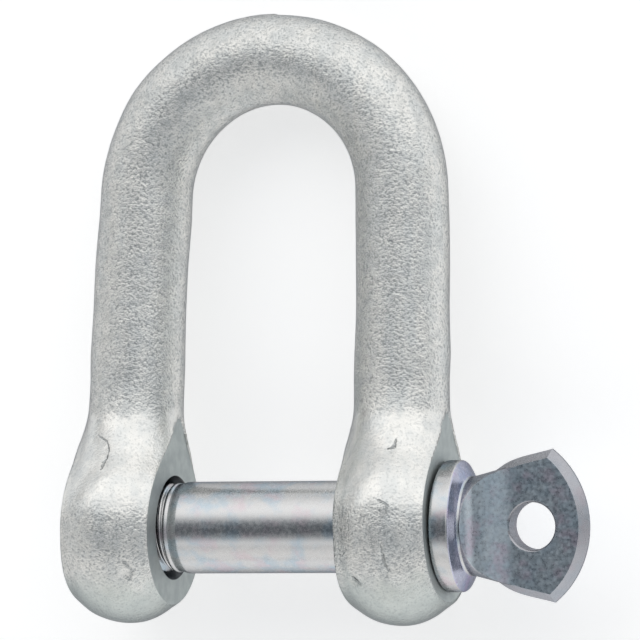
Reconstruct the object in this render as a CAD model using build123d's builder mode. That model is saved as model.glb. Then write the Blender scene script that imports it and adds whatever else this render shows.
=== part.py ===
from build123d import *

import os
from math import asin, cos, degrees, radians, sin, sqrt, tan

# A galvanised D shackle with a screw pin, lying on its side as it comes to rest.
# The origin is on the pin's axis, in the middle of the jaw. +X runs along the pin
# to its head, +Y to the crown of the bow, and +Z up. Lengths in millimetres.

# Bow: a round bar bent to a D, with a forged eye at the end of each leg
bar_diameter = 16.0
jaw_width = 34.0
inside_length = 66.0
leg_splay = 1.25  # degrees that each leg leans in towards the crown
ear_diameter = 33.3
ear_thickness = 16.2
ear_crowning = 26.6  # full width of the oval that the eye's rim is part of
ear_neck_radius = 23.5  # hollow curve from the eye's rim to the leg
ear_crown_length = 21.0  # pin's axis to where the oval is as narrow as the bar
ear_top_land = 1.0  # round bar between the neck's hollow and the leg
ear_blend_steps = 7
plain_hole_diameter = 17.8
hole_edge_break = 0.6
tapped_mouth_diameter = 18.4

# Screw pin, in one piece: thread, shank, collar, neck and tab
pin_diameter = 16.0
thread_pitch = 2.0
thread_play = 0.05  # radial gap from the pin's thread to the tapped ear
tip_projection = 1.0
tip_chamfer = 1.5
shank_end_gap = 3.3  # tapped ear's inner face to the full shank
shank_taper_length = 2.4
collar_gap = 0.05  # collar's seat to the highest point of the ear's face
collar_diameter = 23.0
collar_band = 3.3
collar_bevel_length = 1.4
collar_edge_break = 0.4
neck_diameter = 17.1
neck_flare_diameter = 21.0  # where the neck runs out in the tab
neck_flare_length = 10.4

# Tab, a flat blade with an eye for a mousing wire or a lanyard
tab_turn = 6.7  # degrees from the plane of the bow
tab_thickness = 4.4
tab_parting_land = 0.6  # plain strip round the edge, between its two slopes
tab_edge_slope = 1.35  # how far each face stands in from the edge
tab_root_radius = 9.0
tab_root_length = 8.7  # collar's bevel to the end of the root's hollow
tab_neck_width = 16.4
tab_shoulder_width = 21.4
tab_shoulder_distance = 5.9  # collar's bevel to the shoulder
tab_corner_width = 26.3
tab_corner_distance = 14.3
tab_corner_round = 0.7
tab_reach = 20.7
tab_eye_diameter = 8.2
tab_eye_distance = 11.0
tab_eye_break = 0.3

# Sizes that follow
bar_radius = bar_diameter / 2
pin_radius = pin_diameter / 2
ear_radius = ear_diameter / 2
splay = radians(leg_splay)
leg_at_pin = jaw_width / 2 + ear_thickness / 2
crown_height = pin_radius + inside_length + bar_radius
arch_centre = (crown_height - leg_at_pin * cos(splay)) / (1 - sin(splay))
arch_radius = crown_height - arch_centre

# The ears and the crown touch the surface together, so the bow leans to its crown.
rest_lean = degrees(asin((ear_radius - bar_radius) / crown_height))
bow_plane = Plane.XY.rotated((-rest_lean, 0, 0))
blade_plane = Plane.XY.rotated((tab_turn - rest_lean, 0, 0))

# The right leg runs from the middle of its ear, and its ear faces out of the jaw.
across = Vector(1, 0, 0)
leg_dir = bow_plane.y_dir * cos(splay) - across * sin(splay)
leg_out = across * cos(splay) + bow_plane.y_dir * sin(splay)
ear_middle = across * leg_at_pin

# The hollow neck of the ear touches the eye's rim below and the leg above.
rim_and_neck = ear_radius + ear_neck_radius
neck_top = sqrt(rim_and_neck**2 - (bar_radius + ear_neck_radius) ** 2)
neck_start = neck_top * ear_radius / rim_and_neck
ear_top = max(neck_top, ear_crown_length) + ear_top_land

# Places along the pin
ear_slant = collar_diameter / 2 * tan(splay)
tip_x = -(jaw_width / 2 + ear_thickness + tip_projection)
shank_start = shank_end_gap - jaw_width / 2
collar_seat = jaw_width / 2 + ear_thickness + ear_slant + collar_gap
bevel_start = collar_seat + collar_band
neck_x = bevel_start + collar_bevel_length
flare_end = max(neck_flare_length, tab_root_length)

# The thread's plain cylinder has its pitch diameter, in the pin and in the ear.
thread_radius = pin_radius - 0.3248 * thread_pitch
tapped_radius = thread_radius + thread_play


def rim_height(along: float) -> float:
    """Half height of the forging at a distance along the leg from the pin."""
    if along <= neck_start:
        return sqrt(ear_radius**2 - along**2)
    if along < neck_top:
        return bar_radius + ear_neck_radius - sqrt(ear_neck_radius**2 - (neck_top - along) ** 2)
    return bar_radius


def rim_width(along: float) -> float:
    """Half width of the oval section there, before its sides are struck flat."""
    share = min(along / ear_crown_length, 1.0)
    return bar_radius + (ear_crowning / 2 - bar_radius) * (1 - share**2 * (3 - 2 * share))


def leg_plane(along: float) -> Plane:
    """Plane across the right leg, with its x axis out of the jaw."""
    return Plane(origin=ear_middle + leg_dir * along, x_dir=leg_out, z_dir=leg_dir)


# Right ear, without its hole
with BuildPart() as ear:
    # Lower half of the eye, turned about its middle
    with BuildSketch(leg_plane(0)):
        Ellipse(ear_crowning / 2, ear_radius)
        Rectangle(ear_crowning, ear_diameter, align=(Align.CENTER, Align.MIN), mode=Mode.SUBTRACT)
    revolve(axis=Axis(ear_middle, leg_out), revolution_arc=180)
    # Upper half, drawn out to the round bar
    for step in range(ear_blend_steps + 1):
        along = ear_top * step / ear_blend_steps
        with BuildSketch(leg_plane(along)):
            Ellipse(rim_width(along), rim_height(along))
    loft()
    # Inner and outer sides, struck flat
    with Locations(leg_plane(0)):
        Box(ear_thickness, 2 * ear_diameter, 4 * ear_top, mode=Mode.INTERSECT)

# Bow: the bent bar with an ear at each end, one bored plain and one tapped
with BuildPart() as bow:
    ear_top_x = leg_at_pin - ear_top * sin(splay)
    ear_top_y = ear_top * cos(splay)
    with BuildLine(bow_plane):
        crown = CenterArc((0, arch_centre), arch_radius, leg_splay, 180 - 2 * leg_splay)
        Line((ear_top_x, ear_top_y), crown @ 0)
        Line(crown @ 1, (-ear_top_x, ear_top_y))
    with BuildSketch(leg_plane(ear_top)):
        Circle(bar_radius)
    sweep()
    add(ear.part)
    mirror(ear.part, about=Plane.YZ)
    # Plain hole in the ear under the collar
    bore_start = jaw_width / 4
    bore_length = bore_start + 2 * ear_thickness
    with BuildSketch(Plane.YZ.offset(bore_start)):
        Circle(plain_hole_diameter / 2)
    extrude(amount=bore_length, mode=Mode.SUBTRACT)
    chamfer(bow.edges(Select.LAST).filter_by(GeomType.LINE, reverse=True), hole_edge_break)
    # Tapped hole in the other ear, with a wide mouth towards the jaw
    with BuildSketch(Plane.YZ.offset(-bore_start)):
        Circle(tapped_radius)
    extrude(amount=-bore_length, mode=Mode.SUBTRACT)
    tapped_rims = bow.edges(Select.LAST).filter_by(GeomType.LINE, reverse=True)
    outer_rim, mouth_rim = tapped_rims.sort_by(Axis.X)
    chamfer(outer_rim, hole_edge_break)
    chamfer(mouth_rim, tapped_mouth_diameter / 2 - tapped_radius)
bow.part.label = "bow"

# Tab of the pin, from the collar's bevel outwards
with BuildPart() as tab:
    tab_plane = Plane(origin=(neck_x, 0, 0), x_dir=across, z_dir=blade_plane.z_dir)
    with BuildSketch(tab_plane) as outline:
        with BuildLine():
            shoulder = Vector(tab_shoulder_distance, tab_shoulder_width / 2)
            corner = Vector(tab_corner_distance, tab_corner_width / 2)
            Spline((0, tab_neck_width / 2), shoulder, corner, tangents=((1, 0), corner - shoulder))
            mirror(about=Plane.XZ)
            ThreePointArc(corner, (tab_reach, 0), (corner.X, -corner.Y))
            Line((0, -tab_neck_width / 2), (0, tab_neck_width / 2))
        make_face()
        tips = outline.vertices().filter_by(lambda v: abs(v.X - neck_x - tab_corner_distance) < 1)
        fillet(tips, tab_corner_round)
    extrude(amount=tab_thickness / 2, both=True)
    edge_height = (tab_thickness - tab_parting_land) / 2
    stacked_faces = tab.faces().sort_by(Axis((0, 0, 0), blade_plane.z_dir))
    for face in (stacked_faces[0], stacked_faces[-1]):
        rim = face.edges().sort_by(Axis.X)[1:]
        chamfer(rim, tab_edge_slope, edge_height, reference=face)

# Screw pin: what is turned, then the hollows of the root, then the tab and its eye
with BuildPart() as screw_pin:
    with BuildSketch() as turned:
        with BuildLine():
            flare = Spline(
                (neck_x, neck_diameter / 2),
                (neck_x + flare_end, neck_flare_diameter / 2),
                tangents=((1, 0.2), (1, 0)),
            )
            Polyline(
                flare @ 1,
                (neck_x + flare_end, 0),
                (tip_x, 0),
                (tip_x, thread_radius - tip_chamfer),
                (tip_x + tip_chamfer, thread_radius),
                (shank_start - shank_taper_length, thread_radius),
                (shank_start, pin_radius),
                (collar_seat, pin_radius),
                (collar_seat, collar_diameter / 2),
                (bevel_start, collar_diameter / 2),
                flare @ 0,
            )
        make_face()
        chamfer(turned.vertices().group_by(Axis.Y)[-1], collar_edge_break)
    revolve(axis=Axis.X)
    with BuildSketch(Plane(origin=(neck_x, 0, 0), x_dir=across, z_dir=-blade_plane.y_dir)):
        with BuildLine():
            foot = (tab_root_length, tab_thickness / 2)
            brow = (tab_root_length - tab_root_radius, tab_thickness / 2 + tab_root_radius)
            hollow = RadiusArc(brow, foot, -tab_root_radius)
            Polyline(
                foot,
                (flare_end + tab_root_radius, tab_thickness / 2),
                (flare_end + tab_root_radius, neck_flare_diameter),
                (brow[0], neck_flare_diameter),
                brow,
            )
        make_face()
        mirror(about=Plane.XZ)
    extrude(amount=neck_flare_diameter, both=True, mode=Mode.SUBTRACT)
    add(tab.part)
    with BuildSketch(tab_plane):
        with Locations((tab_eye_distance, 0)):
            Circle(tab_eye_diameter / 2)
    extrude(amount=tab_thickness, both=True, mode=Mode.SUBTRACT)
    chamfer(screw_pin.edges(Select.LAST).filter_by(GeomType.LINE, reverse=True), tab_eye_break)
screw_pin.part.label = "screw_pin"

os.makedirs("parts", exist_ok=True)
export_step(bow.part, "parts/bow.step")
export_step(screw_pin.part, "parts/screw_pin.step")
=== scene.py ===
"""Looks of a galvanised D shackle with a screw pin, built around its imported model.

The bow's frame has X along the pin to its head, Y to the crown and Z away from the ground side.
The bow leans to its crown as it lies, so its pieces are built upright and then turned about X.
Sizes in the dataclasses are millimetres, and every mesh is in metres.
"""

import logging
import math
from collections.abc import Callable, Iterable
from dataclasses import dataclass, field
from enum import Enum

import bmesh
import bpy
from mathutils import Matrix, Vector, noise


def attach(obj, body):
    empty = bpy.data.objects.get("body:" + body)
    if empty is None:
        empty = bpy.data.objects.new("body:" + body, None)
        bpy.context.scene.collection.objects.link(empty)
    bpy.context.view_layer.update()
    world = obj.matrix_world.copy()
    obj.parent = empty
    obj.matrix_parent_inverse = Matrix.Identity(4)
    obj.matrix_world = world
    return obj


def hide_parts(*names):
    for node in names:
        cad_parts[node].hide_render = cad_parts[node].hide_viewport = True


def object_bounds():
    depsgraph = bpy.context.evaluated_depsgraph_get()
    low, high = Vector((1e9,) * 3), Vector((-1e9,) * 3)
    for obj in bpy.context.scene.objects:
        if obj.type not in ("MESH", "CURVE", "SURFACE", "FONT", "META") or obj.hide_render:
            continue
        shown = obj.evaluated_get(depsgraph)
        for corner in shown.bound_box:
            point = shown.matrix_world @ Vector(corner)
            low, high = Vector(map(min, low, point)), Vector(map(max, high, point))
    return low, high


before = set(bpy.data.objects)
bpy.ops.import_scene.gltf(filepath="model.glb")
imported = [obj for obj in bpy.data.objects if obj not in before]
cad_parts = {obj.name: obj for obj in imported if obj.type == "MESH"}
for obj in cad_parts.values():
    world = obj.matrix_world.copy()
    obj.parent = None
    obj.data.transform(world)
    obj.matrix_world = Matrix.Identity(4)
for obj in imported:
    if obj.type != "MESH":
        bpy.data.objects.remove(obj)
cad_low, cad_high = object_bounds()

log = logging.getLogger("shackle")
MM = 0.001


class Side(Enum):
    """Which leg of the bow a piece is on, as the sign of its X."""

    TAPPED = -1
    PLAIN = 1


class Skin(Enum):
    """Material slots of the bow's mesh."""

    CAST = 0
    STRUCK = 1
    BORED = 2


class Turned(Enum):
    """Material slots of the pin's mesh."""

    SHANK = 0
    BLADE = 1
    EDGE = 2
    THREAD = 3
    BEVEL = 4


def smooth_step(value: float) -> float:
    """Eases a share from 0 to 1, and clamps it."""
    share = min(max(value, 0.0), 1.0)
    return share * share * (3 - 2 * share)


def hump(value: float, start: float, rise: float, end: float, fall: float) -> float:
    """Eases from 0 at the start up to 1 over the rise, and down to 0 at the end over the fall."""
    return smooth_step((value - start) / rise) * smooth_step((end - value) / fall)


def mix(first: float, second: float, share: float) -> float:
    """Value that lies a share of the way from the first to the second."""
    return first + (second - first) * share


def steps_to_one(count: int) -> list:
    """Shares from one step up to 1, in equal steps."""
    return [index / count for index in range(1, count + 1)]


class Board:
    """A node tree, with short calls that add and join its nodes."""

    def __init__(self, tree: bpy.types.NodeTree) -> None:
        """Clears the tree.

        Args:
            tree: the material's or the world's tree.
        """
        self.tree = tree
        tree.nodes.clear()

    def add(self, kind: str, sockets: dict | None = None, **settings: object) -> bpy.types.Node:
        """Adds a node.

        Args:
            kind: type of the node, without the words ShaderNode.
            sockets: inputs by name or number, each a value or a socket to join.
            settings: properties of the node.

        Returns:
            The node.
        """
        node = self.tree.nodes.new("ShaderNode" + kind)
        for name, value in settings.items():
            setattr(node, name, value)
        for key, value in (sockets or {}).items():
            if isinstance(value, bpy.types.NodeSocket):
                self.tree.links.new(value, node.inputs[key])
            else:
                node.inputs[key].default_value = value
        return node

    def math(self, operation: str, *values: object) -> bpy.types.NodeSocket:
        """Adds a Math node for an operation on values or sockets, and returns its result."""
        return self.add("Math", dict(enumerate(values)), operation=operation).outputs[0]

    def blend(self, share: object, first: object, second: object) -> bpy.types.NodeSocket:
        """Mixes two colours by a share, and returns the mix."""
        node = self.add("Mix", {0: share, 6: first, 7: second}, data_type="RGBA")
        return node.outputs[2]

    def between(
        self, value: object, low: float, high: float, out: tuple = (0, 1)
    ) -> bpy.types.NodeSocket:
        """Maps a value smoothly from the range low to high onto the range out."""
        sockets = {0: value, 1: low, 2: high, 3: out[0], 4: out[1]}
        return self.add("MapRange", sockets, interpolation_type="SMOOTHSTEP").outputs[0]

    def place(self, scale: tuple) -> bpy.types.NodeSocket:
        """Object coordinates times a scale per metre, which has three parts."""
        spot = self.add("TexCoord").outputs["Object"]
        return self.add("Mapping", {"Vector": spot, "Scale": scale}).outputs[0]

    def cloud(
        self, where: object, scale: float, detail: float, rough: float = 0.5
    ) -> bpy.types.NodeSocket:
        """Noise from 0 to 1 at a place, of so many spots per unit."""
        sockets = {"Vector": where, "Scale": scale, "Detail": detail, "Roughness": rough}
        return self.add("TexNoise", sockets).outputs[0]

    def scratch(
        self, where: object, start: tuple, end: tuple, width: float
    ) -> bpy.types.NodeSocket:
        """Draws a short line on the XY plane.

        Args:
            where: the place, a vector without height.
            start: X and Y of the line's first end.
            end: X and Y of its last end.
            width: how far from the line it has faded out.

        Returns:
            1 on the line and 0 away from it.
        """
        line = Vector((*end, 0)) - Vector((*start, 0))
        gap = self.add("VectorMath", {0: where, 1: (*start, 0)}, operation="SUBTRACT").outputs[0]
        sockets = {0: gap, 1: line / line.length_squared}
        along = self.add("VectorMath", sockets, operation="DOT_PRODUCT").outputs["Value"]
        inside = self.add("Math", {0: along, 1: 0.0}, operation="ADD", use_clamp=True).outputs[0]
        sockets = {0: tuple(line), "Scale": inside}
        nearest = self.add("VectorMath", sockets, operation="SCALE").outputs[0]
        away = self.add("VectorMath", {0: gap, 1: nearest}, operation="DISTANCE").outputs["Value"]
        return self.between(away, width, 0.0)

    def bump(self, height: object, distance: float, under: object = None) -> bpy.types.NodeSocket:
        """Adds a bump of a depth in millimetres, over another if one is given, and returns it."""
        sockets = {"Strength": 1.0, "Distance": distance * MM, "Height": height}
        if under is not None:
            sockets["Normal"] = under
        return self.add("Bump", sockets).outputs[0]

    def metal(self, colour: object, roughness: object, normal: object) -> None:
        """Ends a material's tree with bare metal.

        Args:
            colour: its colour.
            roughness: its roughness.
            normal: its normal, from a bump.
        """
        sockets = {
            "Base Color": colour,
            "Specular Tint": RIM,
            "Metallic": 1.0,
            "Roughness": roughness,
            "Normal": normal,
        }
        shader = self.add("BsdfPrincipled", sockets)
        self.add("OutputMaterial", {0: shader.outputs[0]})


def light_colour(level: float, warmth: float) -> tuple:
    """Colour of a level, warm above a warmth of 0 and cool below it."""
    return (level * (1 + warmth), level, level * (1 - warmth), 1)


@dataclass(frozen=True)
class Scar:
    """A fine scar on the bow's upper side, darkened partly as a mark and partly as painted shade in
    its groove: X and Y of its points, and its width.
    """

    points: tuple
    width: float


SCARS = (
    Scar(((-27.9, 15.4), (-25.8, 14.3), (-25.1, 12.5), (-25.25, 10.75), (-25.6, 9.25)), 0.27),
    Scar(((-20.8, -6.7), (-19.8, -8.3), (-20.6, -9.6)), 0.5),
    Scar(((26.2, 12.5), (26.9, 12.65), (27.2, 13.2), (27.15, 14.0)), 0.27),
    Scar(((26.2, 3.3), (27.9, 2.45), (27.7, 1.0)), 0.3),
    Scar(((26.8, -4.0), (26.9, -7.6), (27.6, -8.4)), 0.36),
    Scar(((20.7, -9.7), (21.8, -10.6)), 0.4),
)

# Tint of the gloss where a surface is seen edge on, for zinc that is dull there
RIM = (0.34, 0.35, 0.37, 1)


@dataclass(frozen=True)
class CastZinc:
    """Hot-dip zinc on the bow: a grainy satin skin, smoother on the ears, and darkened at their
    feet with painted shade that stands in for a dark reflection.

    The ears' tops and bottoms are given as distances from the pin towards the crown.
    """

    light: tuple = (0.83, 0.825, 0.795, 1)
    dull: tuple = (0.73, 0.745, 0.735, 1)
    # Dark colour of pits, stains and scars, and of painted shade in the grain's hollows and in the
    # scars
    pit_and_shade: tuple = (0.26, 0.29, 0.30, 1)
    # Colour of the painted shade at the ears' feet
    shade: tuple = (0.50, 0.545, 0.525, 1)
    roughness: tuple = (0.17, 0.27)
    grain_per_mm: float = 2.0
    grain_height: float = 0.24
    lump_height: float = 0.05
    tops_start: tuple = (2.0, 6.0)
    tops_end: tuple = (18.0, 23.0)
    bottoms: tuple = (-12.0, -6.0)
    wander: float = 8.0
    painted_shade_share: float = 0.75
    hollow_speck_and_shade_share: tuple = (0.52, 0.24)
    stain_share: tuple = (0.24, 0.08)
    scar_and_painted_shade_share: float = 0.5
    scar_depth: float = 0.7
    scar_wobble: float = 0.9

    def material(self) -> bpy.types.Material:
        """Makes the material, and returns it."""
        made = bpy.data.materials.new("cast_zinc")
        made.use_nodes = True
        board = Board(made.node_tree)
        spot = board.place((1 / MM, 1 / MM, 1 / MM))
        streak_spot = board.place((0.42 / MM, 0.03 / MM, 0.42 / MM))
        along = board.add("SeparateXYZ", {0: spot}).outputs[1]
        wander = board.cloud(spot, 0.22, 3)
        middle = board.math("SUBTRACT", along, self.wander / 2)
        height = board.math("MULTIPLY_ADD", wander, self.wander, middle)
        tops = board.math(
            "MULTIPLY",
            board.between(height, *self.tops_start),
            board.between(height, *self.tops_end, (1, 0)),
        )
        bottoms = board.between(height, *self.bottoms, (1, 0))
        smooth = board.math("MULTIPLY_ADD", bottoms, 0.6, tops)
        grain = board.cloud(spot, self.grain_per_mm, 3, 0.6)
        patch = board.math("MULTIPLY", board.cloud(spot, 0.3, 4, 0.6), 0.55)
        streak = board.math("MULTIPLY", board.cloud(streak_spot, 1.0, 2), 0.45)
        mottle = board.math("ADD", patch, streak)
        colour = board.blend(board.between(mottle, 0.38, 0.64), self.light, self.dull)
        # Painted shade: the ears' feet are greyed towards the shade colour, for the dark reflection
        # that falls there
        colour = board.blend(board.math("MULTIPLY", bottoms, self.painted_shade_share), colour, self.shade)
        hollow_speck_and_shade_share = board.between(smooth, 0, 1, self.hollow_speck_and_shade_share)
        # Partly painted shade: the grain's hollows are darkened, both for dark specks and for the
        # shade and dim reflections in them
        hollow_specks_and_shade = board.math("MULTIPLY", board.between(grain, 0.50, 0.36), hollow_speck_and_shade_share)
        stain_share = board.between(smooth, 0, 1, self.stain_share)
        stain = board.between(board.cloud(spot, 0.5, 4, 0.7), 0.47, 0.66)
        stain = board.math("MULTIPLY", stain, stain_share)
        colour = board.blend(board.math("MAXIMUM", hollow_specks_and_shade, stain), colour, self.pit_and_shade)
        scar = self._scars(board, spot)
        # Partly painted shade: the scars are darkened as marks and for the shade in their dents
        colour = board.blend(board.math("MULTIPLY", scar, self.scar_and_painted_shade_share), colour, self.pit_and_shade)
        relief = board.math("MULTIPLY", grain, board.between(smooth, 0.0, 1.0, (1, 0.3)))
        relief = board.math("MULTIPLY_ADD", scar, -self.scar_depth, relief)
        fine = board.bump(relief, self.grain_height)
        lumps = board.bump(board.cloud(spot, 0.8, 2), self.lump_height, fine)
        board.metal(colour, board.between(mottle, 0.35, 0.65, self.roughness), lumps)
        return made

    def _scars(self, board: Board, spot: bpy.types.NodeSocket) -> bpy.types.NodeSocket:
        """Joins the scars, and returns how much of one is at the spot, which is in millimetres."""
        turned = {0: spot, "Angle": BOW_LEAN}
        level = board.add("VectorRotate", turned, rotation_type="X_AXIS").outputs[0]
        x, y, z = board.add("SeparateXYZ", {0: level}).outputs
        wobble = board.math(
            "MULTIPLY_ADD", board.cloud(spot, 1.3, 3), self.scar_wobble, -self.scar_wobble / 2
        )
        places = {0: board.math("ADD", x, wobble), 1: board.math("SUBTRACT", y, wobble)}
        where = board.add("CombineXYZ", places).outputs[0]
        total = None
        for scar in SCARS:
            for start, end in zip(scar.points, scar.points[1:]):
                line = board.scratch(where, start, end, scar.width)
                total = line if total is None else board.math("MAXIMUM", total, line)
        return board.math("MULTIPLY", total, board.between(z, 2.0, 4.0))


@dataclass(frozen=True)
class StruckZinc:
    """Flats and bores of the eyes: the same zinc on struck and cut steel, smoother and greyer, with
    the bores given near-black colours as painted shadow.
    """

    name: str
    light: tuple
    dull: tuple
    roughness: float
    roughness_spread: float = 0.1
    grain_height: float = 0.012

    def material(self) -> bpy.types.Material:
        """Makes the material, and returns it."""
        made = bpy.data.materials.new(self.name)
        made.use_nodes = True
        board = Board(made.node_tree)
        spot = board.place((1 / MM, 1 / MM, 1 / MM))
        patch = board.cloud(spot, 0.4, 4, 0.6)
        grain = board.cloud(spot, 3.0, 2)
        colour = board.blend(board.between(patch, 0.3, 0.7), self.light, self.dull)
        spread = (self.roughness, self.roughness + self.roughness_spread)
        rough = board.between(patch, 0.3, 0.7, spread)
        board.metal(colour, rough, board.bump(grain, self.grain_height))
        return made


@dataclass(frozen=True)
class PlatedSteel:
    """Bright zinc plate on the pin, with faint blue, violet and straw tints."""

    name: str
    light: tuple
    blue: tuple
    violet: tuple
    roughness: tuple
    turning_per_mm: float
    turning_height: float
    mottle: float
    violet_share: float = 0.75

    def material(self) -> bpy.types.Material:
        """Makes the material, and returns it."""
        made = bpy.data.materials.new(self.name)
        made.use_nodes = True
        board = Board(made.node_tree)
        spot = board.place((1 / MM, 1 / MM, 1 / MM))
        ring_spot = board.place((1 / MM, 0.02 / MM, 0.02 / MM))
        rings = board.cloud(ring_spot, self.turning_per_mm, 2, 0.7)
        blue_patch = board.cloud(spot, 0.21, 3, 0.55)
        violet_patch = board.cloud(board.place((0.8 / MM, 0.9 / MM, 1.1 / MM)), 0.27, 3, 0.55)
        speck = board.cloud(spot, 1.6, 4, 0.65)
        colour = board.blend(board.between(blue_patch, 0.42, 0.66), self.light, self.blue)
        violet = board.math("MULTIPLY", board.between(violet_patch, 0.5, 0.68), self.violet_share)
        colour = board.blend(violet, colour, self.violet)
        shade = board.between(speck, 0.3, 0.7, (1 - self.mottle, 1 + self.mottle))
        colour = board.add("VectorMath", {0: colour, "Scale": shade}, operation="SCALE").outputs[0]
        bump = board.bump(board.math("MULTIPLY_ADD", speck, 0.5, rings), self.turning_height)
        board.metal(colour, board.between(speck, 0.3, 0.7, self.roughness), bump)
        return made


def turn_about_x(angle: float) -> Matrix:
    """Rotation about the pin's axis, of an angle in radians."""
    return Matrix.Rotation(angle, 4, "X")


def put_about_x(verts: Iterable, place: Callable[[float], tuple]) -> None:
    """Moves vertices to new places about the pin's axis, each at the angle that it has.

    Args:
        verts: the vertices.
        place: gives X and the radius, in millimetres, for an angle about the axis.
    """
    for vert in verts:
        angle = math.atan2(vert.co.z, vert.co.y)
        x, radius = place(angle)
        vert.co = Vector((x, radius * math.cos(angle), radius * math.sin(angle))) * MM


def extrude_ring(bm: bmesh.types.BMesh, edges: list) -> tuple[list, list]:
    """Extrudes a ring of edges where it is, and returns the new ring's edges and its vertices."""
    made = bmesh.ops.extrude_edge_only(bm, edges=edges)["geom"]
    verts = [item for item in made if isinstance(item, bmesh.types.BMVert)]
    return [item for item in made if isinstance(item, bmesh.types.BMEdge)], verts


def pull_ring(bm: bmesh.types.BMesh, edges: list, place: Callable[[float], tuple]) -> list:
    """Extrudes a closed ring of edges about the pin's axis, and puts each new vertex in its place.

    Args:
        bm: the mesh.
        edges: the ring's edges.
        place: gives X and the radius, in millimetres, for an angle about the axis.

    Returns:
        The new ring's edges.
    """
    ring, verts = extrude_ring(bm, edges)
    put_about_x(verts, place)
    return ring


def ring_about_x(bm: bmesh.types.BMesh, segments: int, place: Callable[[float], tuple]) -> list:
    """Makes a ring of edges about the pin's axis.

    Args:
        bm: the mesh.
        segments: how many edges it has.
        place: gives X and the radius, in millimetres, for an angle about the axis.

    Returns:
        The ring's edges.
    """
    upright = Matrix.Rotation(math.pi / 2, 4, "Y")
    verts = bmesh.ops.create_circle(bm, segments=segments, radius=1.0, matrix=upright)["verts"]
    put_about_x(verts, place)
    return list({edge for vert in verts for edge in vert.link_edges})


def round_edges(bm: bmesh.types.BMesh, edges: list, offset: float) -> None:
    """Rounds edges by an offset in millimetres, with the finish of the faces beside them."""
    bmesh.ops.bevel(
        bm,
        geom=edges,
        offset=offset * MM,
        segments=2,
        profile=0.5,
        affect="EDGES",
        material=-1,
        clamp_overlap=True,
    )


def arc_points(middle: tuple, radius: float, start: float, end: float) -> list:
    """Points of a round in a turned profile, in millimetres.

    Args:
        middle: X and radius of the round's middle.
        radius: size of the round.
        start: first angle, in degrees.
        end: last angle, in degrees.

    Returns:
        X and radius of each point.
    """
    angles = [math.radians(mix(start, end, share)) for share in (0, *steps_to_one(4))]
    x, y = middle
    return [(x + radius * math.cos(angle), y + radius * math.sin(angle)) for angle in angles]


@dataclass(frozen=True)
class Thread:
    """Right-hand thread about X, as the radius of its surface."""

    pitch: float = 2.0
    root: float = 6.72
    crest: float = 7.85
    play: float = 0.1
    start: float = 0.69
    root_land: float = 0.12
    flank_share: float = 0.76

    def radius(self, x: float, angle: float) -> float:
        """Radius of the pin's thread at a place along it and an angle about it."""
        turn = (x / self.pitch - angle / (2 * math.pi) + self.start) % 1.0
        rise = abs(2 * turn - 1)
        flank = min(max((rise - self.root_land) / self.flank_share, 0.0), 1.0)
        return mix(self.root, self.crest, flank)


def named_object(name: str, bm: bmesh.types.BMesh, materials: Iterable) -> bpy.types.Object:
    """Makes an object at the origin from a mesh, with smooth faces.

    Args:
        name: name of the piece.
        bm: its mesh, which is freed.
        materials: its materials, in the order of its slots.

    Returns:
        The object.
    """
    mesh = bpy.data.meshes.new(name)
    for face in bm.faces:
        face.smooth = True
    bm.to_mesh(mesh)
    bm.free()
    for material in materials:
        mesh.materials.append(material)
    made = bpy.data.objects.new(name, mesh)
    bpy.context.scene.collection.objects.link(made)
    return made


def evenly_lit(made: bpy.types.Object) -> bpy.types.Object:
    """Gives a piece's large faces the say in its shading, and returns the piece."""
    weighted = made.modifiers.new("even_light", "WEIGHTED_NORMAL")
    weighted.keep_sharp = True
    return made


@dataclass(frozen=True)
class Dent:
    """A mark in the bow's skin: its middle in the bow's frame, its reach, and its depth."""

    x: float
    y: float
    z: float
    reach: float
    depth: float

    def sink(self, spot: Vector) -> float:
        """How deep the mark is at a place."""
        gap = (spot - Vector((self.x, self.y, self.z))).length / self.reach
        return self.depth * (1 - smooth_step(gap))


@dataclass(frozen=True)
class Ripple:
    """A layer of the cast skin's unevenness: spots per millimetre, shift of its noise, height."""

    scale: float
    shift: tuple
    height: float

    def rise(self, spot: Vector) -> float:
        """How high the layer is at a place."""
        return noise.noise(spot * self.scale + Vector(self.shift)) * self.height


RIPPLES = (
    Ripple(0.045, (0, 0, 0), 0.12),
    Ripple(0.13, (7, 1, 4), 0.06),
    Ripple(0.5, (3, 9, 2), 0.02),
)


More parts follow.
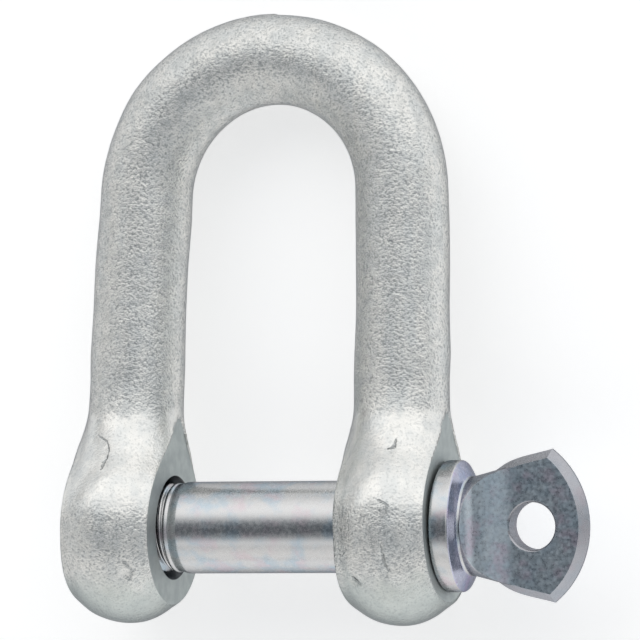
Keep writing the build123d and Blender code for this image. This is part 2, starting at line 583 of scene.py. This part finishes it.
@dataclass
class Bow:
    """The bow: a bent bar with a forged eye at the end of each leg.

    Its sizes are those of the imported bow, and then those of what makes this one uneven: how far
    legs and feet swell, an ear and the crown sink, a leg bends, and the ears' tops are ridged.
    """

    bar_radius: float = 8.0
    jaw: float = 34.0
    inside: float = 66.0
    splay: float = math.radians(1.25)
    ear_radius: float = 16.65
    ear_thickness: float = 16.2
    ear_crown: float = 13.3
    neck_radius: float = 23.5
    crown_length: float = 21.0
    top_land: float = 1.0
    plain_radius: float = 8.9
    tapped_mouth: float = 9.1
    ridge: float = 0.3
    edge_break: float = 0.6
    border_round: float = 0.35
    tip_round_y: float = 17.0
    leg_swell: float = 0.3
    foot_swell: float = 0.35
    ear_sink: float = 0.5
    crown_sink: float = 0.2
    leg_bend: float = 0.35
    segments: int = 128
    step: float = 0.6
    first_ring: float = 0.2
    mouth_lip: float = 0.05
    mouth_steps: int = 4
    plain_steps: int = 12
    steps_per_turn: int = 14
    last_turn_gap: float = 0.4
    flat_margin: float = 0.01
    thread: Thread = field(default_factory=Thread)

    def __post_init__(self) -> None:
        """Works out what follows from the sizes."""
        self.leg_at_pin = (self.jaw + self.ear_thickness) / 2
        self.crown_height = 2 * self.bar_radius + self.inside
        over_legs = self.crown_height - self.leg_at_pin * math.cos(self.splay)
        self.arch_y = over_legs / (1 - math.sin(self.splay))
        self.arch_radius = self.crown_height - self.arch_y
        self.lean = math.asin((self.ear_radius - self.bar_radius) / self.crown_height)
        shift = self.leg_at_pin * math.sin(self.splay)
        self.leg_length = self.arch_y * math.cos(self.splay) + shift
        together = self.ear_radius + self.neck_radius
        self.neck_top = math.sqrt(together**2 - (self.bar_radius + self.neck_radius) ** 2)
        self.neck_start = self.neck_top * self.ear_radius / together
        self.blend_length = self.neck_top + self.top_land

    def rim_height(self, along: float) -> float:
        """Half height of the forging at a distance up the leg from the pin."""
        if along <= self.neck_start:
            return math.sqrt(self.ear_radius**2 - along**2)
        if along < self.neck_top:
            hollow = math.sqrt(self.neck_radius**2 - (self.neck_top - along) ** 2)
            return self.bar_radius + self.neck_radius - hollow
        return self.bar_radius

    def rim_width(self, along: float) -> float:
        """Half width of the oval there, before its sides are struck flat."""
        return mix(self.ear_crown, self.bar_radius, smooth_step(along / self.crown_length))

    def _leg(self) -> bmesh.types.BMesh:
        """Makes half the bow with a blind eye, along Y from the eye's middle, and returns it."""
        bm = bmesh.new()
        upright = Matrix.Rotation(math.pi / 2, 4, "X")
        circle = bmesh.ops.create_circle(bm, segments=self.segments, radius=1.0, matrix=upright)
        verts = circle["verts"]
        wide, high = self.ear_crown, self.ear_radius
        bmesh.ops.scale(bm, vec=(wide * MM, 1, high * MM), verts=verts)
        first = list({edge for vert in verts for edge in vert.link_edges})
        ring = first
        count = round(self.blend_length / self.step)
        for index in range(1, count + 1):
            along = self.blend_length * index / count
            new_wide, new_high = self.rim_width(along), self.rim_height(along)
            ring, verts = extrude_ring(bm, ring)
            bmesh.ops.scale(bm, vec=(new_wide / wide, 1, new_high / high), verts=verts)
            bmesh.ops.translate(bm, vec=(0, self.blend_length / count * MM, 0), verts=verts)
            wide, high = new_wide, new_high
        outer = [edge for edge in first if all(vert.co.z > -1e-7 for vert in edge.verts)]
        outer_verts = list({vert for edge in outer for vert in edge.verts})
        turns = round(math.pi * self.ear_radius / self.step)
        bmesh.ops.spin(
            bm,
            geom=outer + outer_verts,
            cent=(0, 0, 0),
            axis=(1, 0, 0),
            angle=math.pi,
            steps=turns,
            use_duplicate=False,
        )
        bmesh.ops.remove_doubles(bm, verts=bm.verts, dist=1e-6)
        for sign in (-1, 1):
            bmesh.ops.bisect_plane(
                bm,
                geom=bm.verts[:] + bm.edges[:] + bm.faces[:],
                dist=0.07 * MM,
                plane_co=(sign * self.ear_thickness / 2 * MM, 0, 0),
                plane_no=(sign, 0, 0),
                use_snap_center=True,
                clear_outer=True,
            )
        end = self.blend_length * MM - 1e-6
        open_edges = [edge for edge in bm.edges if edge.is_boundary]
        ring = [edge for edge in open_edges if all(vert.co.y > end for vert in edge.verts)]
        rest = self.leg_length - self.blend_length
        count = round(rest / self.step)
        for _ in range(count):
            ring, verts = extrude_ring(bm, ring)
            bmesh.ops.translate(bm, vec=(0, rest / count * MM, 0), verts=verts)
        ends = list({vert for edge in ring for vert in edge.verts})
        sweep = math.pi / 2 - self.splay
        bmesh.ops.spin(
            bm,
            geom=ring + ends,
            cent=(-self.arch_radius * MM, self.leg_length * MM, 0),
            axis=(0, 0, 1),
            angle=sweep,
            steps=round(sweep * (self.arch_radius + self.bar_radius / 2) / self.step),
            use_duplicate=False,
        )
        return bm

    def _flat_x(self, side: Side, outer: bool, y: float) -> float:
        """X of an ear's outer or inner flat, at a distance from the pin towards the crown."""
        half = self.ear_thickness / 2 if outer else -self.ear_thickness / 2
        offset = self.leg_at_pin * math.cos(self.splay) + half
        return side.value * (offset - y * math.sin(self.splay)) / math.cos(self.splay)

    def _on_flat(self, edge: bmesh.types.BMEdge, side: Side, outer: bool) -> bool:
        """Whether an edge lies on an ear's outer or inner flat."""
        places = ((vert.co.x / MM, vert.co.y / MM) for vert in edge.verts)
        return all(abs(x - self._flat_x(side, outer, y)) < self.flat_margin for x, y in places)

    def _bore(self, side: Side) -> list:
        """Rings of an ear's hole outwards: distance from the middle, and least radius."""
        inner_x, outer_x = self.jaw / 2, self.jaw / 2 + self.ear_thickness
        if side is Side.PLAIN:
            first = inner_x + self.edge_break + self.first_ring
            last = outer_x - self.edge_break - self.first_ring
            shares = (0, *steps_to_one(self.plain_steps))
            return [(mix(first, last, share), self.plain_radius) for share in shares]
        depth = self.tapped_mouth - self.thread.root - self.thread.play
        start, lip = inner_x + self.first_ring, self.tapped_mouth - self.mouth_lip
        depths = [depth * share for share in (0, *steps_to_one(self.mouth_steps))]
        stations = [(start + deep, lip - deep) for deep in depths]
        turns = (outer_x - self.edge_break - start - depth) / self.thread.pitch
        count = round(turns * self.steps_per_turn)
        first, last = start + depth, outer_x - self.edge_break - self.last_turn_gap
        return stations + [(mix(first, last, share), 0.0) for share in steps_to_one(count)]

    def _eye(self, bm: bmesh.types.BMesh, side: Side) -> None:
        """Closes an ear's flats round its hole, and bores the hole.

        Args:
            bm: the bow's mesh.
            side: which ear.
        """
        tapped = side is Side.TAPPED
        plain_rim = self.plain_radius + self.edge_break
        rims = {False: plain_rim, True: plain_rim}
        if tapped:
            rims = {False: self.tapped_mouth, True: self.thread.crest + self.edge_break}
        rings = {}
        for outer, rim in rims.items():
            open_edges = [edge for edge in bm.edges if edge.is_boundary]
            border = [edge for edge in open_edges if self._on_flat(edge, side, outer)]

            def on_rim(angle: float, outer: bool = outer, rim: float = rim) -> tuple:
                return self._flat_x(side, outer, rim * math.cos(angle)), rim

            ring = ring_about_x(bm, self.segments, on_rim)
            loops = border + ring
            filled = bmesh.ops.triangle_fill(bm, use_beauty=True, edges=loops, normal=(1, 0, 0))
            for face in (item for item in filled["geom"] if isinstance(item, bmesh.types.BMFace)):
                face.material_index = Skin.STRUCK.value
            rings[outer] = ring
        before = set(bm.faces)
        ring = rings[False]
        for distance, least in self._bore(side):
            x = side.value * distance

            def on_wall(angle: float, x: float = x, least: float = least) -> tuple:
                cut = self.thread.radius(x, angle) + self.thread.play if tapped else 0.0
                return x, max(cut, least)

            ring = pull_ring(bm, ring, on_wall)
        bmesh.ops.bridge_loops(bm, edges=ring + rings[True])
        for face in set(bm.faces) - before:
            face.material_index = Skin.BORED.value

    def _fuller(self, spot: Vector, normal: Vector) -> Vector:
        """Where this forging differs from its plain form.

        Args:
            spot: a place on the skin, in the bow's frame and in millimetres.
            normal: the skin's normal there.

        Returns:
            The move, in millimetres.
        """
        side = math.copysign(1.0, spot.x)
        up_leg = hump(spot.y, self.neck_top, 6, self.arch_y + 8, 16)
        across = side * max(normal.x * side, 0.0) * up_leg * self.leg_swell
        across += normal.x * hump(spot.y, 9, 5, 40, 16) * self.foot_swell
        low = smooth_step((-spot.y - 2) / 9)
        if side > 0:
            # The plain ear's lower end is nearer to the jaw and lower, and the crown is flatter
            across -= self.ear_sink * low * hump(spot.x, 12, 3, 26, 4)
            flatter = self.crown_sink * max(normal.y, 0.0) * smooth_step((spot.y - 70) / 6)
            return Vector((across, -self.ear_sink * low - flatter, 0))
        # The other leg leans further in under the crown, and the lower end of its ear stands out
        across += self.leg_bend * hump(spot.y, 45, 10, 78, 8)
        return Vector((across - self.leg_bend * low * smooth_step((-27 - spot.x) / 4), 0, 0))

    def _shape_skin(self, bm: bmesh.types.BMesh) -> None:
        """Gives the cast skin its unevenness and its marks.

        Args:
            bm: the bow's mesh, in the bow's frame.
        """
        bm.normal_update()
        moves = {}
        for vert in bm.verts:
            if any(face.material_index != Skin.CAST.value for face in vert.link_faces):
                continue
            spot = vert.co / MM
            flats = [self._flat_x(Side.PLAIN, outer, spot.y) for outer in (False, True)]
            fade = smooth_step(min(abs(abs(spot.x) - flat) for flat in flats) / 1.5)
            calm = mix(fade, 1.0, smooth_step((spot.y - self.crown_length + 5) / 8))
            uneven = sum(ripple.rise(spot) for ripple in RIPPLES)
            sink = sum(dent.sink(spot) for dent in DENTS)
            beside = math.hypot(abs(spot.x) - flats[1] + self.ear_thickness / 2, 0.35)
            # The ears' tops fall away on both sides of the ridge
            roof = smooth_step((20 - abs(spot.y)) / 8) * smooth_step(abs(spot.z) / 8)
            sink += self.ridge * roof * min(beside / 7, 1.0) * fade
            skin = vert.normal * (uneven * calm - sink)
            moves[vert] = (skin + self._fuller(spot, vert.normal)) * MM
        for vert, move in moves.items():
            vert.co += move

    def build(self, materials: Iterable) -> bpy.types.Object:
        """Builds the bow, and returns its piece.

        Args:
            materials: for the cast skin, the struck flats and the bores.

        Returns:
            The bow, in its place.
        """
        whole = bmesh.new()
        for side in Side:
            half = self._leg()
            turn = Matrix.Rotation(self.splay, 4, "Z")
            place = Matrix.Translation((self.leg_at_pin * MM, 0, 0)) @ turn
            mirrored = Matrix.Diagonal((side.value, 1, 1, 1))
            bmesh.ops.transform(half, matrix=mirrored @ place, verts=half.verts)
            carrier = bpy.data.meshes.new("half")
            half.to_mesh(carrier)
            half.free()
            whole.from_mesh(carrier)
            bpy.data.meshes.remove(carrier)
        crown = [vert for vert in whole.verts if abs(vert.co.x) < 1e-6]
        bmesh.ops.remove_doubles(whole, verts=crown, dist=2e-6)
        for side in Side:
            self._eye(whole, side)
        bmesh.ops.recalc_face_normals(whole, faces=whole.faces)
        meeting = {Skin.CAST.value, Skin.STRUCK.value}
        corners = [
            edge
            for edge in whole.edges
            if len(edge.link_faces) == 2
            and max(vert.co.y for vert in edge.verts) < self.tip_round_y * MM
            and {face.material_index for face in edge.link_faces} == meeting
        ]
        round_edges(whole, corners, self.border_round)
        self._shape_skin(whole)
        bmesh.ops.transform(whole, matrix=turn_about_x(-self.lean), verts=whole.verts)
        return evenly_lit(named_object("bow_forging", whole, materials))


BOW_LEAN = Bow().lean
BLADE_TURN = math.radians(6.7) - BOW_LEAN  # tab's turn from the bow's plane, less the bow's lean

# Marks of the bow's upper side, which SCARS darkens, partly as dark marks and partly as painted
# shade in the dents
DENTS = (
    # Curved scar above the tapped ear, with a smear under it
    Dent(-28.0, 14.6, 10.3, 1.1, 0.34),
    Dent(-26.9, 14.0, 10.7, 1.0, 0.42),
    Dent(-25.9, 13.0, 11.2, 1.0, 0.46),
    Dent(-25.4, 11.4, 12.2, 1.0, 0.42),
    Dent(-25.4, 9.8, 13.4, 1.0, 0.34),
    Dent(-24.6, 7.5, 14.8, 1.8, -0.29),
    Dent(-20.3, -9.2, 13.5, 1.6, 0.53),
    # Hooked scar, lump, scratch and pits on the plain ear
    Dent(26.4, 15.5, 9.9, 0.9, 0.34),
    Dent(27.1, 14.0, 10.7, 0.9, 0.42),
    Dent(26.8, 12.6, 11.5, 0.9, 0.46),
    Dent(27.3, 2.1, 16.3, 1.6, -0.42),
    Dent(26.6, -6.4, 15.2, 1.1, 0.53),
    Dent(26.7, -7.6, 14.7, 1.1, 0.53),
    Dent(26.9, -8.8, 14.0, 1.1, 0.42),
    Dent(21.1, -10.0, 12.6, 1.3, 0.53),
)


# Steps past the thread, and in the hollow at the foot of the collar's bevel: distance, and height
THREAD_END = ((0.08, 0.15), (0.15, 0.2), (0.55, 0.2), (0.65, 0.12), (0.8, 0.0))
BEVEL_FOOT = ((-0.1, 0.25), (0.0, 0.08), (0.1, 0.0))


@dataclass
class ScrewPin:
    """The screw pin: turned and threaded up to its collar, with a forged tab as its head."""

    radius: float = 8.0
    tip_x: float = -34.2
    tip_chamfer: float = 1.5
    tip_drop: float = 0.6
    steps_per_turn: int = 16
    run_out: float = 0.5
    shank_start: float = -13.7
    taper: float = 2.4
    taper_steps: int = 16
    shank_steps: int = 48
    seat_round: float = 0.3
    seat_x: float = 33.501
    collar_radius: float = 11.35
    band: float = 3.3
    bevel: float = 0.95
    edge_round: float = 0.45
    relief: float = 7.62
    face_lean: float = 2.4
    neck_radius: float = 8.55
    joint_x: float = 38.22
    root_end: float = 47.5
    segments: int = 128
    flat_facing: float = 0.985
    hollow_facing: float = 0.1
    hollow_turn: float = 0.12
    same_plane: float = math.radians(0.6)
    crease: float = math.radians(22)
    border_round: float = 0.16
    thread: Thread = field(default_factory=Thread)

    def _turned(self, bm: bmesh.types.BMesh) -> list:
        """Makes the pin up to the start of its neck, and returns the last ring."""
        thread_end = self.shank_start - self.taper - 0.3
        ring = self._threaded(bm, thread_end)
        for face in bm.faces:
            face.material_index = Turned.THREAD.value
        for x, radius in self._profile(thread_end):
            share = smooth_step((x - self.seat_x) / self.band)
            lean = self.face_lean * share * (radius - self.neck_radius) / self.collar_radius

            def on_profile(
                angle: float, x: float = x, radius: float = radius, lean: float = lean
            ) -> tuple:
                return x - lean * (1 - math.sin(angle)), radius

            ring = pull_ring(bm, ring, on_profile)
        return ring

    def _threaded(self, bm: bmesh.types.BMesh, end: float) -> list:
        """Makes the tip and the thread up to its end, and returns the last ring."""
        flat = self.thread.root - self.tip_drop
        ring = ring_about_x(bm, self.segments, lambda angle: (self.tip_x, flat - 0.4))
        end_face = bmesh.ops.contextual_create(bm, geom=ring)["faces"]
        bmesh.ops.poke(bm, faces=end_face)
        ring = pull_ring(bm, ring, lambda angle: (self.tip_x + 0.12, flat - 0.1))
        start = self.tip_x + 0.2
        count = round((end - start) / self.thread.pitch * self.steps_per_turn)
        for index in range(count + 1):
            x = mix(start, end, index / count)
            cap = mix(flat, self.thread.crest, min((x - self.tip_x) / self.tip_chamfer, 1.0))
            out = smooth_step((x - end + self.run_out) / self.run_out)

            def on_thread(angle: float, x: float = x, cap: float = cap, out: float = out) -> tuple:
                cut = self.thread.radius(x, angle)
                return x, min(mix(cut, self.relief - 0.2, out), cap)

            ring = pull_ring(bm, ring, on_thread)
        return ring

    def _profile(self, thread_end: float) -> list:
        """X and radius of the points that are turned, from the thread's end to the neck."""
        profile = [(thread_end + past, self.relief + rise) for past, rise in THREAD_END]
        taper_start = profile[-1][0]
        for share in steps_to_one(self.taper_steps):
            radius = mix(self.relief, self.radius, smooth_step(share))
            profile.append((mix(taper_start, self.shank_start, share), radius))
        shank_end = self.seat_x - self.seat_round
        for share in steps_to_one(self.shank_steps):
            profile.append((mix(self.shank_start, shank_end, share), self.radius))
        profile += arc_points((shank_end, self.radius + self.seat_round), self.seat_round, -90, 0)
        band_start, bevel_x = self.seat_x + self.edge_round, self.seat_x + self.band
        under_edge = self.collar_radius - self.edge_round
        profile += arc_points((band_start, under_edge), self.edge_round, 180, 90)
        for share in steps_to_one(6)[:-1]:
            profile.append((mix(band_start, bevel_x - 0.3, share), self.collar_radius))
        slope = math.degrees(math.atan2(self.collar_radius - self.neck_radius, self.bevel))
        profile += arc_points((bevel_x - 0.2, under_edge), self.edge_round, 90, 90 - slope)
        foot = bevel_x + self.bevel
        profile += [(foot + past, self.neck_radius + rise) for past, rise in BEVEL_FOOT]
        return profile + [(self.joint_x - 0.1, self.neck_radius)]

    def _head(self, bm: bmesh.types.BMesh) -> list:
        """Adds the neck and the tab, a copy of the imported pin's, and returns their open ring."""
        before = set(bm.verts)

        def copied() -> tuple[list, list, list]:
            """The copy's vertices, edges and faces."""
            verts = [vert for vert in bm.verts if vert not in before]
            edges = list({edge for vert in verts for edge in vert.link_edges})
            faces = list({face for vert in verts for face in vert.link_faces})
            return verts, edges, faces

        bm.from_mesh(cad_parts["screw_pin"].data)
        bmesh.ops.remove_doubles(bm, verts=copied()[0], dist=1e-6)
        verts, edges, faces = copied()
        bmesh.ops.bisect_plane(
            bm,
            geom=verts + edges + faces,
            dist=1e-7,
            plane_co=(self.joint_x * MM, 0, 0),
            plane_no=(1, 0, 0),
            clear_inner=True,
        )
        verts, edges, faces = copied()
        bmesh.ops.dissolve_limit(bm, angle_limit=self.same_plane, verts=verts, edges=edges)
        verts, edges, faces = copied()
        for face in faces:
            face.material_index = Turned.EDGE.value
        return [edge for edge in edges if edge.is_boundary]

    def _finish(self, face: bmesh.types.BMFace) -> int:
        """Number of a face's finish, from its place and the way it faces."""
        middle = face.calc_center_median()
        x, radius = middle.x / MM, middle.yz.length / MM
        if x > self.joint_x:
            across = abs(face.normal.dot(Vector((0, -math.sin(BLADE_TURN), math.cos(BLADE_TURN)))))
            along = abs(face.normal.dot(Vector((0, math.cos(BLADE_TURN), math.sin(BLADE_TURN)))))
            outward = face.normal.x > 0.01 and x < self.root_end
            hollow = outward and along < self.hollow_turn and across > self.hollow_facing
            if across > self.flat_facing or hollow:
                return Turned.BLADE.value
            return face.material_index
        on_bevel = self.neck_radius + 0.1 < radius < self.collar_radius - 0.08
        if on_bevel and x > self.seat_x + self.band / 2:
            return Turned.BEVEL.value
        return face.material_index

    def build(self, materials: Iterable) -> bpy.types.Object:
        """Builds the pin, and returns its piece.

        Args:
            materials: for the turned part, the tab's faces, its edges, the thread and the bevel.

        Returns:
            The pin, in its place.
        """
        bm = bmesh.new()
        ring = self._turned(bm)
        neck = self._head(bm)
        bmesh.ops.bridge_loops(bm, edges=ring + neck)
        bmesh.ops.recalc_face_normals(bm, faces=bm.faces)
        for face in bm.faces:
            face.material_index = self._finish(face)
        creases = [
            edge
            for edge in bm.edges
            if len(edge.link_faces) == 2
            and edge.calc_face_angle() > self.crease
            and min(vert.co.x for vert in edge.verts) > self.joint_x * MM
        ]
        round_edges(bm, creases, self.border_round)
        return evenly_lit(named_object("pin_forging", bm, materials))


# Brightness of the soft box's walls on the way round it, upwards and to the right in the picture:
# degrees from the camera, level, and warmth
UP_AND_DOWN = (
    (-180, 0.42, 0.0),
    (-150, 0.5, 0.0),
    (-126, 0.6, 0.0),
    (-103, 0.72, 0.0),
    (-85, 0.95, 0.01),
    (-69, 0.88, 0.01),
    (-57, 0.66, 0.0),
    (-45, 1.0, -0.01),
    (-36, 0.66, -0.02),
    (-24, 0.38, -0.04),
    (-5, 0.32, -0.06),
    (5, 0.39, -0.05),
    (14, 0.66, -0.03),
    (25, 0.95, -0.01),
    (36, 1.08, 0.0),
    (49, 1.2, 0.0),
    (66, 1.18, 0.0),
    (85, 0.9, 0.0),
    (103, 0.6, -0.01),
    (121, 0.62, -0.01),
    (138, 0.6, 0.0),
    (180, 0.42, 0.0),
)
ALONG = (
    (-180, 0.8, 0.0),
    (-95, 0.65, 0.0),
    (-75, 0.85, 0.0),
    (-58, 0.95, 0.0),
    (-47, 0.45, -0.04),
    (-38, 0.28, -0.08),
    (-26, 0.30, -0.08),
    (-14, 0.75, -0.03),
    (-4, 1.1, 0.0),
    (22, 1.15, 0.0),
    (40, 0.95, 0.0),
    (54, 0.5, -0.03),
    (68, 0.34, -0.05),
    (84, 0.3, -0.05),
    (104, 0.45, 0.0),
    (140, 0.7, 0.0),
    (180, 0.8, 0.0),
)


@dataclass
class Studio:
    """Floor, light and camera: a white floor in a soft box, from the photograph's point of view."""

    yaw: float = 19.765
    lean: float = 6.216
    roll: float = 0.986
    distance: float = 1111.57
    across: float = -9.401
    down: float = 35.978
    lens: float = 360.1
    sensor: float = 36
    ends_from: float = 0.18
    ends_to: float = 0.55
    floor_reach: float = 3.0
    floor_paint: tuple = (0.7, 0.7, 0.7, 1)
    floor_lift: float = 0.52
    lamp_place: tuple = (-0.35, 0.75, 0.75)
    lamp_size: float = 0.9
    lamp_power: float = 1.2

    def turn(self) -> Matrix:
        """Rotation from the world to the camera's axes."""
        upright = Matrix.Rotation(BOW_LEAN, 3, "X")
        roll = Matrix.Rotation(math.radians(self.roll), 3, "Z")
        yaw = Matrix.Rotation(math.radians(-self.yaw), 3, "Y")
        lean = Matrix.Rotation(math.radians(-self.lean), 3, "X")
        return roll @ yaw @ lean @ upright

    def camera(self) -> None:
        """Places the camera where the photograph was taken from."""
        data = bpy.data.cameras.new("camera")
        data.lens = self.lens
        data.sensor_width = self.sensor
        data.clip_end = 100
        made = bpy.data.objects.new("camera", data)
        bpy.context.scene.collection.objects.link(made)
        back = self.turn().transposed()
        place = back @ Vector((-self.across, self.down, self.distance)) * MM
        made.matrix_world = Matrix.Translation(place) @ back.to_4x4()
        bpy.context.scene.camera = made

    def light(self) -> None:
        """Makes the soft box: bright walls, dim openings beside the camera, and plain ends."""
        world = bpy.data.worlds.new("soft_box")
        bpy.context.scene.world = world
        world.use_nodes = True
        board = Board(world.node_tree)
        way = board.add("TexCoord").outputs["Generated"]
        right, up, near = (
            board.add("VectorMath", {0: way, 1: tuple(row)}, operation="DOT_PRODUCT").outputs[1]
            for row in self.turn()
        )
        tall = self._wall(board, board.math("ARCTAN2", up, near), UP_AND_DOWN)
        wide = self._wall(board, board.math("ARCTAN2", right, near), ALONG)
        ends = board.between(board.math("ABSOLUTE", up), self.ends_from, self.ends_to)
        around = board.blend(ends, wide, (1, 1, 1, 1))
        walls = board.add("VectorMath", {0: tall, 1: around}, operation="MULTIPLY").outputs[0]
        board.add("OutputWorld", {0: board.add("Background", {0: walls, 1: 1.0}).outputs[0]})

    @staticmethod
    def _wall(board: Board, turn: bpy.types.NodeSocket, stops: tuple) -> bpy.types.NodeSocket:
        """Makes the brightness of the soft box on the way round it.

        Args:
            board: the world's tree.
            turn: angle of a direction in radians, 0 at the camera.
            stops: angles in degrees, each with a level and a warmth.

        Returns:
            The colour.
        """
        share = board.math("MULTIPLY_ADD", turn, 0.5 / math.pi, 0.5)
        ramp = board.add("ValToRGB", {0: share})
        elements = ramp.color_ramp.elements
        for index, (angle, level, warmth) in enumerate(stops):
            place = (angle + 180) / 360
            if 0 < index < len(stops) - 1:
                element = elements.new(place)
            else:
                element = elements[0] if index == 0 else elements[-1]
                element.position = place
            element.color = light_colour(level, warmth)
        return ramp.outputs[0]

    def floor(self) -> None:
        """Lays the white floor under the object."""
        bm = bmesh.new()
        low = Matrix.Translation((0, 0, cad_low.z))
        bmesh.ops.create_grid(bm, x_segments=1, y_segments=1, size=self.floor_reach, matrix=low)
        material = bpy.data.materials.new("white_sweep")
        material.use_nodes = True
        board = Board(material.node_tree)
        path = board.add("LightPath")
        seen = board.math("ADD", path.outputs["Is Camera Ray"], path.outputs["Is Transmission Ray"])
        shown = board.math("ADD", path.outputs["Is Glossy Ray"], seen)
        lift = board.math("MULTIPLY", shown, self.floor_lift)
        paint = board.add("BsdfDiffuse", {0: self.floor_paint})
        white = board.add("Emission", {0: (1, 1, 1, 1), 1: lift})
        total = board.add("AddShader", {0: paint.outputs[0], 1: white.outputs[0]})
        board.add("OutputMaterial", {0: total.outputs[0]})
        named_object("floor", bm, [material])

    def lamp(self) -> None:
        """Hangs one broad lamp towards the crown, for a soft shadow under the object."""
        data = bpy.data.lights.new("key", "AREA")
        data.shape = "DISK"
        data.size = self.lamp_size
        data.energy = self.lamp_power
        made = bpy.data.objects.new("key", data)
        bpy.context.scene.collection.objects.link(made)
        place = Vector(self.lamp_place)
        made.location = place
        made.rotation_euler = place.to_track_quat("Z", "Y").to_euler()
        made.visible_glossy = False


# Finishes in the order of the slots in Skin and in Turned
BOW_FINISHES = (
    CastZinc(),
    StruckZinc("struck_zinc", (0.60, 0.64, 0.63, 1), (0.52, 0.56, 0.56, 1), 0.5),
    # The bores' near-black colours are painted shadow inside the holes
    StruckZinc("bored_zinc_painted_shadow", (0.14, 0.145, 0.15, 1), (0.09, 0.095, 0.10, 1), 0.36),
)
PLAIN = ((0.65, 0.65, 0.65, 1), (0.51, 0.59, 0.65, 1), (0.66, 0.58, 0.61, 1))
BLUISH = ((0.62, 0.69, 0.74, 1), (0.53, 0.62, 0.69, 1), (0.64, 0.57, 0.66, 1))
GREY = ((0.44, 0.445, 0.475, 1), (0.40, 0.425, 0.465, 1), (0.445, 0.42, 0.455, 1))
VIOLET = ((0.56, 0.57, 0.68, 1), (0.42, 0.47, 0.62, 1), (0.52, 0.45, 0.60, 1))
PIN_FINISHES = (
    PlatedSteel("turned_plate", *PLAIN, (0.14, 0.22), 3.0, 0.004, 0.05),
    PlatedSteel("blade_plate", *BLUISH, (0.26, 0.38), 0.5, 0.008, 0.13),
    PlatedSteel("edge_plate", *GREY, (0.24, 0.34), 0.5, 0.006, 0.05),
    PlatedSteel("screw_plate", *PLAIN, (0.2, 0.3), 3.0, 0.002, 0.05),
    PlatedSteel("bevel_plate", *VIOLET, (0.2, 0.3), 2.0, 0.004, 0.08),
)


def main() -> None:
    """Builds the studio, the bow and the pin, and reports each."""
    logging.basicConfig(level=logging.INFO, format="%(name)s: %(message)s")
    bpy.context.scene.view_settings.view_transform = "Standard"
    studio = Studio()
    studio.camera()
    studio.light()
    studio.floor()
    studio.lamp()
    log.info("studio is ready")

    bow = Bow().build([finish.material() for finish in BOW_FINISHES])
    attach(bow, "bow")
    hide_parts("bow")
    log.info("bow has %d faces", len(bow.data.polygons))

    pin = ScrewPin().build([finish.material() for finish in PIN_FINISHES])
    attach(pin, "pin")
    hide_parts("screw_pin")
    log.info("pin has %d faces", len(pin.data.polygons))


if __name__ == "__main__":
    main()
